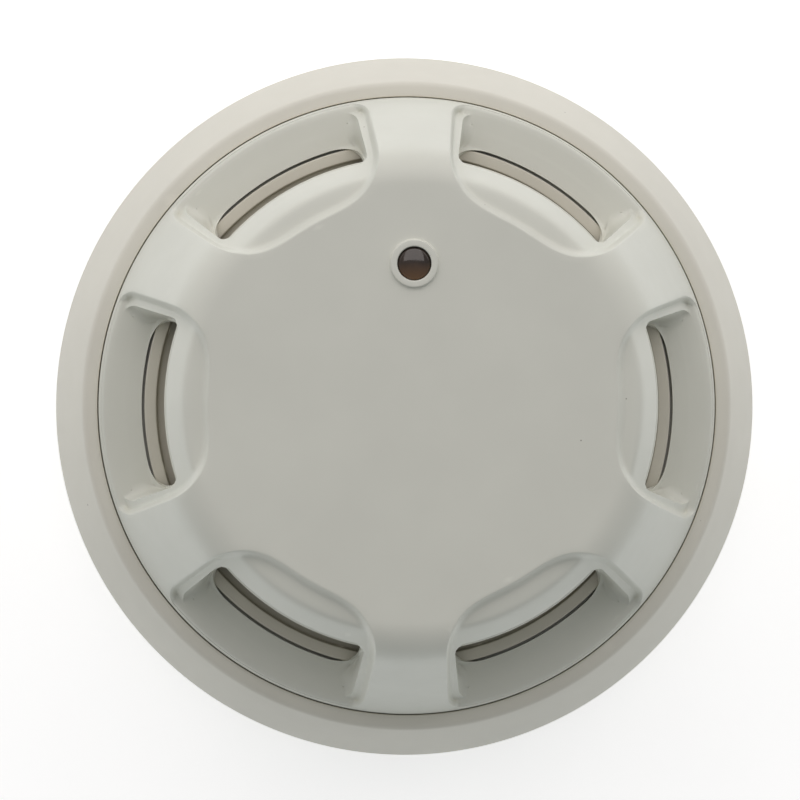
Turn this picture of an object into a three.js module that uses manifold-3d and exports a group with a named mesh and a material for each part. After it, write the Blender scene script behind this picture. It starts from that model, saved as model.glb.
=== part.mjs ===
// A ceiling heat detector on its twist-lock mounting base.
//
// Frame: millimetres, +Z up, away from the ceiling. The origin is the centre of the base's ceiling face,
// so the part lies on its back with its sensing face at the top. +Y points to the indicator lamp.
//
// The head (cap, inner cover, rear housing, board and its parts) turns anticlockwise on the base to
// unlock. Each terminal has a screw that turns in a tapped plate and lifts its captive wire clamp, and
// a leaf spring that presses on a contact foot of the head.

import * as THREE from "three";
import { ConvexGeometry } from "three/addons/geometries/ConvexGeometry.js";
import { mergeVertices } from "three/addons/utils/BufferGeometryUtils.js";
import Module from "manifold-3d";

const wasm = await Module();
wasm.setup();

// ---- driving dimensions ----

const BASE_R = 53; // base ring at the ceiling
const TOTAL_H = 43; // ceiling face to sensing face
const RING_Z = 12; // crest of the base ring
const HEAD_R = 46; // rim of the cap
const WALL = 1.8; // cap wall
const FIT = 0.4; // gap between parts that move past each other
const REST = 0.3; // gap between parts that sit against each other

const WINDOWS = 6; // windows round the cap, the first one on +X
const WINDOW_HALF = 22.2; // half angle of a window on the cap's outside, degrees
const SLOT_HALF = 19.3; // half angle of the slot at its bottom, degrees

const LOCK_ANGLES = [30, 150, 270]; // twist-lock hooks, and the struts that hold the cap screws
const TERMINAL_ANGLES = [45, 135, 225, 315];
const TERMINAL_R = 33; // circle of terminals and contacts
const RIVET_ANGLE = 14; // from a terminal screw to its spring's rivet, degrees
const LEAF_ANGLE = 18; // from a terminal screw to the frame of its leaf spring, degrees
const CREST_Y = 5.4; // crest of the leaf spring, along the leaf

const ROUND = 60; // sides of the large round shapes
const SMALL_ROUND = 16; // sides of small round shapes
const ARC_STEP = 6; // longest step along an arc, degrees
const SLIVER = 0.02; // detail finer than this is smoothed away

// ---- heights, from the ceiling up ----

const FLOOR_Z = 2;
const PEDESTAL_Z = 3.5;
const PLATE_Z = [PEDESTAL_Z + REST, PEDESTAL_Z + REST + 1];
const CLAMP_Z = [PLATE_Z[1] + REST, PLATE_Z[1] + REST + 0.8];
const SCREW_HEAD_Z = [CLAMP_Z[1] + REST, CLAMP_Z[1] + REST + 1.8];
const CREST_Z = 8.5; // leaf spring's crest
const HOOK_Z = [7.2, 8.8];
const LUG_Z = [5.4, HOOK_Z[0] - REST];
const SKIRT_Z = 9.3; // lower edge of the cap, inside the base ring
const REAR_Z = [11, 13]; // plate of the rear housing
const RIM_Z = 12.4;
const BOARD_Z = [14.5, 16.1];
const SILL_Z = 14.6; // window sill
const COVER_Z = [REAR_Z[1] + REST, 24]; // inner cover
const LIP_Z = 35; // lower edge of the brow above a window

// ---- materials ----

const plastic = (color) => new THREE.MeshStandardMaterial({ color, roughness: 0.45, metalness: 0 });
const metal = (color) => new THREE.MeshStandardMaterial({ color, roughness: 0.3, metalness: 1 });

const MATERIALS = {
  ivory: plastic(0xe2ddcf),
  offWhite: plastic(0xdcdbd4),
  innerIvory: plastic(0xd6d0c2),
  greyPlastic: plastic(0xc4c4be),
  board: plastic(0x1d5b34),
  blackPlastic: plastic(0x17171a),
  greyRubber: plastic(0x4c4c4e),
  smokedLens: plastic(0x2a1712),
  redLens: plastic(0xa01812),
  blackEpoxy: plastic(0x1b1d22),
  blueSleeve: plastic(0x1e3f8c),
  label: plastic(0xcdccc6),
  brass: metal(0xb08d4a),
  springBronze: metal(0xc08a5a),
  plated: metal(0xb9bbbd),
};

// ---- solids ----

// A closed geometry as a solid that can be joined and cut.
function solidOf(geometry) {
  const bare = geometry.index ? geometry.toNonIndexed() : geometry.clone();
  bare.deleteAttribute("normal");
  bare.deleteAttribute("uv");
  const merged = mergeVertices(bare, 1e-4);
  return new wasm.Manifold(
    new wasm.Mesh({
      numProp: 3,
      vertProperties: merged.attributes.position.array,
      triVerts: new Uint32Array(merged.index.array),
    }),
  );
}

// A solid as a geometry with flat faces, without the slivers that cuts leave behind.
function geometryOf(solid) {
  const { vertProperties, triVerts } = solid.simplify(SLIVER).getMesh();
  const geometry = new THREE.BufferGeometry()
    .setAttribute("position", new THREE.BufferAttribute(vertProperties, 3))
    .setIndex(new THREE.BufferAttribute(triVerts, 1));
  const flat = geometry.toNonIndexed();
  flat.computeVertexNormals();
  return flat;
}

function meshOf(name, solid, material) {
  const mesh = new THREE.Mesh(geometryOf(solid), material);
  mesh.name = name;
  return mesh;
}

const joined = (solids) => solids.reduce((all, solid) => all.add(solid));
const cut = (solid, tools) => tools.reduce((left, tool) => left.subtract(tool), solid);
const radians = THREE.MathUtils.degToRad;
const at = (r, degrees) => [r * Math.cos(radians(degrees)), r * Math.sin(radians(degrees))];

// A plan outline of [x, y] points raised from one height to another.
function raised(outline, [low, high]) {
  const shape = new THREE.Shape(outline.map(([x, y]) => new THREE.Vector2(x, y)));
  const geometry = new THREE.ExtrudeGeometry(shape, { depth: high - low, bevelEnabled: false });
  return solidOf(geometry.translate(0, 0, low));
}

function block([x0, x1], [y0, y1], [z0, z1]) {
  const geometry = new THREE.BoxGeometry(x1 - x0, y1 - y0, z1 - z0);
  return solidOf(geometry.translate((x0 + x1) / 2, (y0 + y1) / 2, (z0 + z1) / 2));
}

function drum(radius, [z0, z1], [x, y] = [0, 0], sides = SMALL_ROUND) {
  const geometry = new THREE.CylinderGeometry(radius, radius, z1 - z0, sides);
  return solidOf(geometry.rotateX(Math.PI / 2).translate(x, y, (z0 + z1) / 2));
}

// An outline of [radius, z] points, anticlockwise, turned about a vertical line.
// An outline that doesn't start on that line is closed back to its first point.
function turned(outline, [x, y] = [0, 0], sides = SMALL_ROUND) {
  const closed = outline[0][0] === 0 ? outline : [...outline, outline[0]];
  const profile = closed.map(([r, z]) => new THREE.Vector2(r, z));
  return solidOf(new THREE.LatheGeometry(profile, sides).rotateX(Math.PI / 2).translate(x, y, 0));
}

const turnedLarge = (outline) => turned(outline, [0, 0], ROUND);

function arc(r, from, to, step = ARC_STEP) {
  const count = Math.ceil(Math.abs(to - from) / step);
  return Array.from({ length: count + 1 }, (_, i) => at(r, from + ((to - from) * i) / count));
}

// A piece of a ring, from one angle to another.
const ringPiece = ([inner, outer], [from, to], heights) =>
  raised([...arc(outer, from, to), ...arc(inner, to, from)], heights);

// A side outline of [y, z] points made solid over a width along X.
function acrossX(outline, [x0, x1]) {
  const shape = new THREE.Shape(outline.map(([y, z]) => new THREE.Vector2(y, z)));
  const geometry = new THREE.ExtrudeGeometry(shape, { depth: x1 - x0, bevelEnabled: false });
  return solidOf(geometry.rotateX(Math.PI / 2).rotateZ(Math.PI / 2).translate(x0, 0, 0));
}

// A cross recess in the top of a screw head.
function crossRecess([x, y], length, width, heights) {
  const long = length / 2;
  const narrow = width / 2;
  return joined([
    block([x - long, x + long], [y - narrow, y + narrow], heights),
    block([x - narrow, x + narrow], [y - long, y + long], heights),
  ]);
}

// ---- mounting base ----

const BORE_R = HEAD_R + FIT;
const CABLE_R = 12;
const COLLAR_R = 13.3;
const COLLAR_Z = 3.4;
const FIXING_X = 28; // fixing slots, each side of the centre
const FIXING_R = 2.3;
const FIXING_LENGTH = 11;
const HOOK_HALF = 8; // degrees
const HOOK_R = [43.8, BORE_R + 0.4];
const STOP_WIDTH = 3; // end stop of a hook, degrees

const ringOutline = [
  [CABLE_R, 0],
  [BORE_R + 2, 0],
  [BORE_R + 2, 6.8],
  [49, 6.8],
  [51, 0],
  [BASE_R, 0],
  [BASE_R, 0.5],
  [49.2, RING_Z - 1],
  [48.4, RING_Z],
  [BORE_R + 0.9, RING_Z],
  [BORE_R, RING_Z - 0.7],
  [BORE_R, FLOOR_Z],
  [COLLAR_R, FLOOR_Z],
  [COLLAR_R, COLLAR_Z],
  [CABLE_R, COLLAR_Z],
];

// A slot with round ends, lying along X.
function fixingSlot(x) {
  const half = FIXING_LENGTH / 2 - FIXING_R;
  const end = (centre, from) => arc(FIXING_R, from, from + 180, 45).map(([dx, dy]) => [centre + dx, dy]);
  return raised([...end(x + half, -90), ...end(x - half, 90)], [-1, FLOOR_Z + 1]);
}

function hook(angle) {
  const heel = angle - HOOK_HALF;
  const overhang = ringPiece(HOOK_R, [heel, angle + HOOK_HALF], HOOK_Z);
  const stop = ringPiece(HOOK_R, [heel - STOP_WIDTH, heel + 0.5], [FLOOR_Z - 0.5, HOOK_Z[1]]);
  return overhang.add(stop);
}

function baseShell() {
  const pedestals = TERMINAL_ANGLES.map((angle) =>
    ringPiece([29.4, 36.6], [angle - 9, angle + 19], [FLOOR_Z - 0.5, PEDESTAL_Z]),
  );
  const screwHoles = TERMINAL_ANGLES.map((angle) =>
    drum(2.2, [FLOOR_Z - 0.8, PEDESTAL_Z + 1], at(TERMINAL_R, angle), 8),
  );
  const solid = joined([turnedLarge(ringOutline), ...pedestals, ...LOCK_ANGLES.map(hook)]);
  return cut(solid, [fixingSlot(-FIXING_X), fixingSlot(FIXING_X), ...screwHoles]);
}

// ---- one terminal, drawn on +X and turned to its place ----

const SCREW_AT = [TERMINAL_R, 0];
const RIVET_AT = at(TERMINAL_R, RIVET_ANGLE);

function terminalPlate() {
  const strip = ringPiece([30, 36], [-8, LEAF_ANGLE], PLATE_Z);
  return cut(strip, [drum(1.85, [0, 9], SCREW_AT), drum(1.15, [0, 9], RIVET_AT)]);
}

// Flat under the rivet, up to the crest, then down to the free tip.
function contactSpring() {
  const thickness = 0.4;
  const flatZ = PLATE_Z[1] + REST + thickness;
  const topLine = [
    [8.6, CREST_Z - 1.3],
    [CREST_Y + 1, CREST_Z - 0.1],
    [CREST_Y, CREST_Z],
    [CREST_Y - 1, CREST_Z - 0.1],
    [3.4, CREST_Z - 0.6],
    [-0.4, flatZ],
    [-4.6, flatZ],
  ];
  const underside = topLine.map(([y, z]) => [y, z - thickness]).reverse();
  const leaf = acrossX([...topLine, ...underside], [TERMINAL_R - 2.5, TERMINAL_R + 2.5]);
  return cut(leaf, [drum(1.25, [0, 9], at(TERMINAL_R, RIVET_ANGLE - LEAF_ANGLE))]);
}

function springRivet() {
  const headZ = PLATE_Z[1] + 2 * REST + 0.4;
  const outline = [
    [0, PLATE_Z[0]],
    [0.85, PLATE_Z[0]],
    [0.85, headZ],
    [1.7, headZ],
    [1.5, headZ + 0.5],
    [0.8, headZ + 0.8],
    [0, headZ + 0.8],
  ];
  return turned(outline, RIVET_AT, 10);
}

// A square plate with two turned-up lips that keep the wire in.
function wireClamp() {
  const half = 3.6;
  const sides = [-half, half];
  const plate = block([TERMINAL_R - half, TERMINAL_R + half], sides, CLAMP_Z);
  const lips = sides.map((side) => {
    const middle = TERMINAL_R + side;
    return block([middle - 0.35, middle + 0.35], sides, [CLAMP_Z[0], CLAMP_Z[1] + 0.7]);
  });
  return cut(joined([plate, ...lips]), [drum(1.95, [0, 12], SCREW_AT)]);
}

function terminalScrew() {
  const [low, high] = SCREW_HEAD_Z;
  const outline = [
    [0, FLOOR_Z - 0.5],
    [1, FLOOR_Z - 0.5],
    [1.6, FLOOR_Z + 0.1],
    [1.6, low],
    [3, low],
    [3, high - 0.6],
    [2.2, high],
    [0, high],
  ];
  return cut(turned(outline, SCREW_AT, 16), [crossRecess(SCREW_AT, 4, 0.9, [high - 1, high + 1])]);
}

function terminal(number, angle) {
  const group = new THREE.Group();
  group.rotation.z = radians(angle);
  const leafFrame = new THREE.Group();
  leafFrame.rotation.z = radians(LEAF_ANGLE);
  leafFrame.add(meshOf(`contact_spring_${number}`, contactSpring(), MATERIALS.springBronze));
  group.add(
    leafFrame,
    meshOf(`terminal_plate_${number}`, terminalPlate(), MATERIALS.brass),
    meshOf(`spring_rivet_${number}`, springRivet(), MATERIALS.brass),
    meshOf(`wire_clamp_${number}`, wireClamp(), MATERIALS.plated),
    meshOf(`terminal_screw_${number}`, terminalScrew(), MATERIALS.plated),
  );
  return group;
}

// ---- cap ----

const FACE_R = 31.2; // flat face, where the shoulder starts
const CONE_TOP = [36.8, 39.15]; // where the shoulder meets the cone
const CONE_FOOT = [HEAD_R - 0.5, 13.7];
const SHOULDER_SWEEP = 71; // turn of the shoulder from the flat face to the cone, degrees
const BROW_R = 29.4; // inner edge of a window in the face
const LIP_R = 35.6;
const SILL_R = 39.5; // inner edge of the sill
const LAMP = [0, 19.8];
const LAMP_R = 2.3;
const BEZEL_R = 3.4;
const BEZEL_RISE = 0.5;
const CAP_SCREW_R = 39.3; // circle of the cap screws
const POST_R = 1.9;

// Flat face, round shoulder, steep cone, rim, and a skirt that goes down inside the base ring.
function capOutside() {
  const curve = (CONE_TOP[0] - FACE_R) / Math.sin(radians(SHOULDER_SWEEP));
  const shoulder = [0.75, 0.5, 0.25, 0].map((share) => {
    const sweep = radians(share * SHOULDER_SWEEP);
    return [FACE_R + curve * Math.sin(sweep), TOTAL_H - curve * (1 - Math.cos(sweep))];
  });
  return turnedLarge([
    [0, SKIRT_Z],
    [HEAD_R, SKIRT_Z],
    [HEAD_R, RIM_Z],
    CONE_FOOT,
    CONE_TOP,
    ...shoulder,
    [0, TOTAL_H],
  ]);
}

function capCavity() {
  return turnedLarge([
    [0, 4],
    [HEAD_R - WALL, 4],
    [HEAD_R - WALL, SKIRT_Z + 1],
    [HEAD_R - WALL - 0.6, RIM_Z - 0.2],
    [35, 38],
    [33.6, 40],
    [FACE_R - 0.4, TOTAL_H - WALL],
    [0, TOTAL_H - WALL],
  ]);
}

// The plan of one window: a rounded U towards the centre, straight sides and the rim's arc.
function windowPlan(centre) {
  const shoulderR = 38; // where the U's sides become straight
  const outerR = HEAD_R - 0.9;
  const cornerAngle = WINDOW_HALF - 1.6;
  const flatness = 3.4; // how long the U stays flat in the middle
  const squareness = 2.4; // how sharply it turns into the sides
  const shares = [0, 0.3, 0.55, 0.75, 0.9, 0.97, 1];
  const half = shares.map((share) => {
    const reach = Math.pow(1 - Math.pow(share, flatness), 1 / squareness);
    return [shoulderR - (shoulderR - BROW_R) * reach, share * WINDOW_HALF];
  });
  half.push([outerR - 1, WINDOW_HALF]);
  const right = half.map(([r, angle]) => at(r, centre + angle));
  const left = half.slice(1).map(([r, angle]) => at(r, centre - angle));
  return [...left.reverse(), ...right, ...arc(outerR, centre + cornerAngle, centre - cornerAngle)];
}

// The overhang above a window: a step down from the face, a ledge, then a steep fall to the lip.
const browOutline = [
  [BROW_R - 0.8, TOTAL_H - 2.6],
  [32, TOTAL_H - 2.8],
  [LIP_R - 1.1, LIP_Z - 0.7],
  [LIP_R, LIP_Z - 0.7],
  [LIP_R, LIP_Z],
  [32.9, TOTAL_H - 1.7],
  [BROW_R - 0.8, TOTAL_H - 1.5],
];

const sillOutline = [
  [SILL_R, SILL_Z - 1.2],
  [43.5, SILL_Z - 1.2],
  [43.8, SILL_Z - 2.4],
  [HEAD_R - 0.7, SILL_Z - 2.4],
  [HEAD_R - 0.7, CONE_FOOT[1]],
  [HEAD_R - 0.9, SILL_Z],
  [SILL_R, SILL_Z],
];

// One side wall of a window, leaning in from the cap's outside to the end of the slot.
function flank(centre, side) {
  const corner = (r, angle, z) => new THREE.Vector3(...at(r, centre + side * angle), z);
  const footZ = SILL_Z - 1.2;
  return solidOf(
    new ConvexGeometry([
      corner(HEAD_R - 0.7, WINDOW_HALF, footZ),
      corner(37, WINDOW_HALF, 39),
      corner(SILL_R + 0.2, SLOT_HALF, footZ),
      corner(LIP_R - 0.3, SLOT_HALF, LIP_Z + 1),
      corner(HEAD_R - 1.2, WINDOW_HALF + 2, footZ),
      corner(36.4, WINDOW_HALF + 2, 39),
      corner(SILL_R + 0.2, WINDOW_HALF, footZ),
      corner(LIP_R - 0.3, WINDOW_HALF, LIP_Z + 1),
    ]),
  );
}

function lampBezel() {
  const outline = [
    [0, TOTAL_H - WALL],
    [BEZEL_R, TOTAL_H - WALL],
    [BEZEL_R, TOTAL_H + BEZEL_RISE - 0.2],
    [BEZEL_R - 0.25, TOTAL_H + BEZEL_RISE],
    [0, TOTAL_H + BEZEL_RISE],
  ];
  return turned(outline, LAMP, 24);
}

function frontCap() {
  const outside = capOutside();
  const centres = Array.from({ length: WINDOWS }, (_, i) => (i * 360) / WINDOWS);
  const windows = centres.map((centre) => raised(windowPlan(centre), [SILL_Z - 2, 60]));
  const shell = cut(outside.subtract(capCavity()), windows);

  const overWindows = joined(
    centres.map((centre) => {
      const reach = WINDOW_HALF + 0.4;
      return raised([[0, 0], ...arc(60, centre - reach, centre + reach)], [0, 60]);
    }),
  );
  const bands = joined([turnedLarge(browOutline), turnedLarge(sillOutline)]).intersect(overWindows);
  const flanks = centres.flatMap((centre) => [flank(centre, -1), flank(centre, 1)]);
  const posts = LOCK_ANGLES.map((angle) => drum(POST_R, [COVER_Z[0], 28], at(CAP_SCREW_R, angle)));
  const inside = joined([...flanks, ...posts]).intersect(outside);

  const pilots = LOCK_ANGLES.map((angle) => drum(1.1, [5, 22], at(CAP_SCREW_R, angle), 8));
  const lampHole = drum(LAMP_R + 0.2, [30, 60], LAMP, 24);
  return cut(joined([shell, bands, inside, lampBezel()]), [lampHole, ...pilots]);
}

// ---- inner cover ----

const COVER_WALL = 1.2;
const FLANGE_R = 39.1;
const COVER_RIM_Z = 15;
const CHANNEL_R = [35.9, 37.3]; // narrow channel between the wall and the rim
const CHANNEL_Z = 13.8;
const COLLAR_HOLE_R = 2.3;
const GUIDE_R = 1.5; // stem of the light guide

function innerCover() {
  const [low, high] = COVER_Z;
  const wallInside = CHANNEL_R[0] - 0.9;
  const hat = turnedLarge([
    [0, high - COVER_WALL],
    [29.6, high - COVER_WALL],
    [33, 21],
    [wallInside, 16.4],
    [wallInside, low],
    [FLANGE_R, low],
    [FLANGE_R, COVER_RIM_Z],
    [CHANNEL_R[1], COVER_RIM_Z],
    [CHANNEL_R[1], CHANNEL_Z],
    [CHANNEL_R[0], CHANNEL_Z],
    [CHANNEL_R[0], 16.4],
    [34.2, 21.8],
    [33, 23.2],
    [30, high],
    [0, high],
  ]);
  const notchHeights = [low - 1, high - 4];
  const notches = LOCK_ANGLES.map((angle) => drum(POST_R + REST, notchHeights, at(CAP_SCREW_R, angle)));
  const guideHole = drum(GUIDE_R + FIT, [20, 30], LAMP);
  return cut(hat, [...notches, guideHole, drum(COLLAR_HOLE_R, [20, 30])]);
}

// ---- rear housing ----

const REAR_R = 43.2;
const BOARD_SCREW_R = 27;
const BOARD_SCREW_ANGLES = [0, 120, 240];
const FOOT_RIVET_Y = 3.6; // from a contact foot's ridge to its rivet
const CONTACT_ANGLES = TERMINAL_ANGLES.map(
  (angle) => angle + LEAF_ANGLE + THREE.MathUtils.radToDeg(Math.atan2(CREST_Y, TERMINAL_R)),
);

// A point given in the frame of a contact foot, whose X runs out along the contact's radius.
function inContactFrame([x, y], angle) {
  const [radialX, radialY] = at(1, angle);
  return [x * radialX - y * radialY, x * radialY + y * radialX];
}

const contactRivetAt = (angle) => inContactFrame([TERMINAL_R, FOOT_RIVET_Y], angle);

function rearHousing() {
  const body = turnedLarge([
    [0, REAR_Z[0]],
    [REAR_R - 1.4, REAR_Z[0]],
    [REAR_R - 1.4, LUG_Z[0]],
    [REAR_R, LUG_Z[0]],
    [REAR_R, REAR_Z[1]],
    [0, REAR_Z[1]],
  ]);
  const lugs = LOCK_ANGLES.map((angle) => ringPiece([REAR_R - 0.7, 45.7], [angle - 6, angle + 6], LUG_Z));
  const posts = BOARD_SCREW_ANGLES.map((angle) =>
    drum(2.6, [REAR_Z[0] + 0.5, BOARD_Z[0] - REST], at(BOARD_SCREW_R, angle)),
  );
  const pilots = BOARD_SCREW_ANGLES.map((angle) => drum(1.2, [11.6, 16], at(BOARD_SCREW_R, angle), 8));
  const screwHoles = LOCK_ANGLES.map((angle) => drum(1.3, [10, 14], at(CAP_SCREW_R, angle), 8));
  const rivetHoles = CONTACT_ANGLES.map((angle) => drum(1.2, [10, 14], contactRivetAt(angle), 8));
  return cut(joined([body, ...lugs, ...posts]), [...pilots, ...screwHoles, ...rivetHoles]);
}

// A flat strip with a ridge that rests on the leaf spring's crest, drawn on +X.
function contactFoot() {
  const topZ = REAR_Z[0] - REST;
  const plateZ = topZ - 0.8;
  const ridgeZ = CREST_Z + REST;
  const outline = [
    [-3.2, plateZ],
    [-1.5, plateZ],
    [-0.7, ridgeZ],
    [0.7, ridgeZ],
    [1.5, plateZ],
    [5.6, plateZ],
    [5.6, topZ],
    [-3.2, topZ],
  ];
  const strip = acrossX(outline, [TERMINAL_R - 2.5, TERMINAL_R + 2.5]);
  return cut(strip, [drum(1.2, [8, 12], [TERMINAL_R, FOOT_RIVET_Y])]);
}

// A rivet that holds a foot under the plate, with a pin that goes up through the board.
function contactRivet(position) {
  const footZ = REAR_Z[0] - REST - 0.8;
  const outline = [
    [0, footZ - 1],
    [0.9, footZ - 1],
    [1.5, footZ - REST],
    [0.9, footZ - REST],
    [0.9, REAR_Z[1] + REST],
    [1.5, REAR_Z[1] + REST],
    [1.3, REAR_Z[1] + 0.9],
    [0.5, REAR_Z[1] + 1],
    [0.5, BOARD_Z[1] + 1],
    [0, BOARD_Z[1] + 1.2],
  ];
  return turned(outline, position, 8);
}

// A pan head screw that points up, its head under the rear housing.
function capScrew(position) {
  const headTop = REAR_Z[0] - REST;
  const outline = [
    [0, headTop - 1.4],
    [1.4, headTop - 1.4],
    [2.1, headTop - 0.8],
    [2.1, headTop],
    [0.8, headTop],
    [0.8, 19],
    [0, 20],
  ];
  return cut(turned(outline, position), [crossRecess(position, 2.4, 0.6, [headTop - 3, headTop - 0.7])]);
}

function boardScrew(position) {
  const headLow = BOARD_Z[1] + REST;
  const outline = [
    [0, 12],
    [0.8, 12.8],
    [0.8, headLow],
    [2, headLow],
    [2, headLow + 0.7],
    [1.3, headLow + 1.3],
    [0, headLow + 1.3],
  ];
  return cut(turned(outline, position), [crossRecess(position, 2.2, 0.6, [headLow + 0.7, headLow + 3])]);
}

// ---- circuit board and what stands on it ----

const BOARD_R = 34.6;
const SEAT_Z = BOARD_Z[1] + REST; // underside of the parts on the board
const LEG_X = 1.1; // legs of the thermistors, each side of the middle
const REFERENCE_AT = [14, -16];

const legPositions = ([x, y]) => [
  [x - LEG_X, y],
  [x + LEG_X, y],
];

function circuitBoard() {
  const holes = [
    ...BOARD_SCREW_ANGLES.map((angle) => drum(1.3, [14, 17], at(BOARD_SCREW_R, angle), 8)),
    ...CONTACT_ANGLES.map((angle) => drum(0.9, [14, 17], contactRivetAt(angle), 8)),
    ...legPositions([0, 0]).map((position) => drum(0.6, [14, 17], position, 6)),
  ];
  return cut(drum(BOARD_R, BOARD_Z, [0, 0], 36), holes);
}

// A bead on two legs.
function thermistor(position, legLow, beadZ, beadR) {
  const legs = legPositions(position).map((foot) => drum(0.3, [legLow, beadZ], foot, 6));
  const bead = turned(
    [
      [0, beadZ - 1.3 * beadR],
      [0.8 * beadR, beadZ - 0.8 * beadR],
      [beadR, beadZ],
      [0.8 * beadR, beadZ + 0.8 * beadR],
      [0, beadZ + 1.3 * beadR],
    ],
    position,
    10,
  );
  return joined([bead, ...legs]);
}

// The grommet that carries the sensing thermistor through the inner cover.
function thermistorCollar() {
  const [, top] = COVER_Z;
  const outline = [
    [0, top - COVER_WALL - 1.1],
    [2.9, top - COVER_WALL - 1.1],
    [2.9, top - COVER_WALL - REST],
    [COLLAR_HOLE_R - REST, top - COVER_WALL - REST],
    [COLLAR_HOLE_R - REST, top + REST],
    [3, top + REST],
    [2.6, top + 1.8],
    [0, top + 2],
  ];
  return cut(turned(outline), legPositions([0, 0]).map((position) => drum(0.6, [20, 30], position, 6)));
}

function indicatorLed() {
  const outline = [
    [0, SEAT_Z],
    [1.8, SEAT_Z],
    [1.8, SEAT_Z + 0.6],
    [1.5, SEAT_Z + 0.6],
    [1.3, SEAT_Z + 1.6],
    [0.7, SEAT_Z + 2.1],
    [0, SEAT_Z + 2.2],
  ];
  return turned(outline, LAMP);
}

// The rod that carries the lamp's light to the face; its domed end is the indicator lens.
function lightGuide() {
  const outline = [
    [0, SEAT_Z + 2.8],
    [GUIDE_R, SEAT_Z + 2.8],
    [GUIDE_R, 38],
    [3, 39],
    [3, TOTAL_H - WALL - REST],
    [LAMP_R, TOTAL_H - WALL - REST],
    [LAMP_R, TOTAL_H + 0.1],
    [1.4, TOTAL_H + 0.35],
    [0, TOTAL_H + 0.45],
  ];
  return turned(outline, LAMP, 20);
}

function reservoirCapacitor() {
  const outline = [
    [0, SEAT_Z],
    [2.3, SEAT_Z],
    [2.5, SEAT_Z + 0.4],
    [2.25, SEAT_Z + 0.8],
    [2.5, SEAT_Z + 1.2],
    [2.5, SEAT_Z + 4.7],
    [2.2, SEAT_Z + 5],
    [0, SEAT_Z + 5],
  ];
  return turned(outline, [-13, -12], 16);
}

// A moulded body with rows of bent legs along two sides.
function legged([x, y], [length, width, height], legsPerSide, pitch) {
  const lift = SEAT_Z + 0.2;
  const sides = [x - length / 2, x + length / 2];
  const body = block(sides, [y - width / 2, y + width / 2], [lift, lift + height]);
  const legs = Array.from({ length: legsPerSide }, (_, i) => {
    const legX = x + (i - (legsPerSide - 1) / 2) * pitch;
    const reach = width / 2 + 1;
    return block([legX - 0.25, legX + 0.25], [y - reach, y + reach], [SEAT_Z, SEAT_Z + 0.5]);
  });
  return joined([body, ...legs]);
}

// A small upright package with one flat side, on three legs.
function alarmThyristor() {
  const [x, y] = [18, 12];
  const round = arc(2.3, -40, 220, 26).map(([dx, dy]) => [x + dx, y + dy]);
  const body = raised(round, [SEAT_Z + 1.2, SEAT_Z + 5.6]);
  const legs = [-1.27, 0, 1.27].map((dx) => {
    const legX = x + dx;
    return block([legX - 0.2, legX + 0.2], [y - 0.2, y + 0.2], [SEAT_Z, SEAT_Z + 2]);
  });
  return joined([body, ...legs]);
}

function ratingLabel() {
  return drum(14, [REAR_Z[0] - 0.4, REAR_Z[0] - 0.15], [0, 0], 24);
}

// ---- assembly ----

const detector = new THREE.Group();
detector.add(meshOf("base_shell", baseShell(), MATERIALS.ivory));
TERMINAL_ANGLES.forEach((angle, i) => detector.add(terminal(i + 1, angle)));

detector.add(
  meshOf("front_cap", frontCap(), MATERIALS.offWhite),
  meshOf("inner_cover", innerCover(), MATERIALS.innerIvory),
  meshOf("rear_housing", rearHousing(), MATERIALS.greyPlastic),
  meshOf("rating_label", ratingLabel(), MATERIALS.label),
  meshOf("circuit_board", circuitBoard(), MATERIALS.board),
  meshOf("light_guide", lightGuide(), MATERIALS.smokedLens),
  meshOf("indicator_led", indicatorLed(), MATERIALS.redLens),
  meshOf("sensing_thermistor", thermistor([0, 0], 13.9, 31, 1.4), MATERIALS.blackEpoxy),
  meshOf("thermistor_collar", thermistorCollar(), MATERIALS.greyRubber),
  meshOf("reference_thermistor", thermistor(REFERENCE_AT, SEAT_Z, 19, 1.1), MATERIALS.blackEpoxy),
  meshOf("reservoir_capacitor", reservoirCapacitor(), MATERIALS.blueSleeve),
  meshOf("controller_chip", legged([0, -9], [8.7, 3.9, 1.5], 7, 1.27), MATERIALS.blackPlastic),
  meshOf("bridge_rectifier", legged([-18, 8], [4.7, 3.9, 2.4], 2, 2.54), MATERIALS.blackPlastic),
  meshOf("transient_suppressor", legged([-9, 17], [4.3, 3.6, 2.2], 1, 1), MATERIALS.blackPlastic),
  meshOf("alarm_thyristor", alarmThyristor(), MATERIALS.blackPlastic),
);

CONTACT_ANGLES.forEach((angle, i) => {
  const foot = meshOf(`contact_foot_${i + 1}`, contactFoot(), MATERIALS.brass);
  foot.rotation.z = radians(angle);
  const rivet = contactRivet(contactRivetAt(angle));
  detector.add(foot, meshOf(`contact_rivet_${i + 1}`, rivet, MATERIALS.plated));
});
LOCK_ANGLES.forEach((angle, i) => {
  detector.add(meshOf(`cap_screw_${i + 1}`, capScrew(at(CAP_SCREW_R, angle)), MATERIALS.plated));
});
BOARD_SCREW_ANGLES.forEach((angle, i) => {
  detector.add(meshOf(`board_screw_${i + 1}`, boardScrew(at(BOARD_SCREW_R, angle)), MATERIALS.plated));
});

export default detector;
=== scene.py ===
"""Looks of a ceiling heat detector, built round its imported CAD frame."""

import math

import bmesh
import bpy
import numpy as np
from mathutils import Matrix, Vector


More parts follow.
